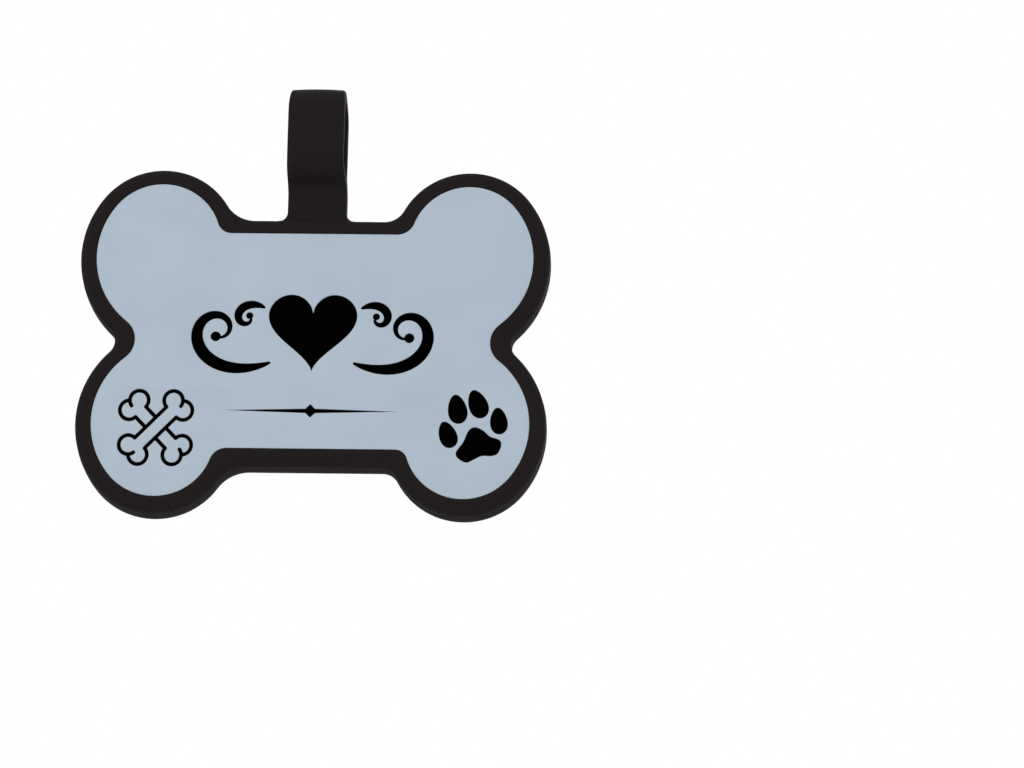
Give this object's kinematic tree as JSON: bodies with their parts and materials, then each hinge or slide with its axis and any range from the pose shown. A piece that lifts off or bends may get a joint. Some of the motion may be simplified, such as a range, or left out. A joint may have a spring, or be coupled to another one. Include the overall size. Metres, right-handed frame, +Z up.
{
  "type": "pet id tag",
  "caption": "Bone-shaped silicone pet id tag with a panel in each face, an engraved front and a strap loop for a collar.",
  "frame": {"origin": "centre of the top bend of the strap loop, where a collar carries the tag", "axes": "+X across the tag to the right seen from the front, +Y from the engraved front to the back, +Z up"},
  "size_m": [0.05, 0.0074, 0.0472],
  "materials": {
    "black_silicone": "satin moulded silicone",
    "blue_silicone": "matt moulded silicone, blue-grey"
  },
  "bodies": {
    "loop": {"hanging_loop": "black_silicone"},
    "tag": {"carrier": "black_silicone", "front_panel": "blue_silicone", "motif_islands": "blue_silicone", "back_panel": "blue_silicone"}
  },
  "joints": [
    {"name": "strap_bend", "type": "hinge", "parent": "loop", "child": "tag", "pos_m": [0, 0, -0.0088], "axis": [1, 0, 0], "range_deg": [-60, 60], "stiffness_Nm_per_rad": 0.004}
  ]
}
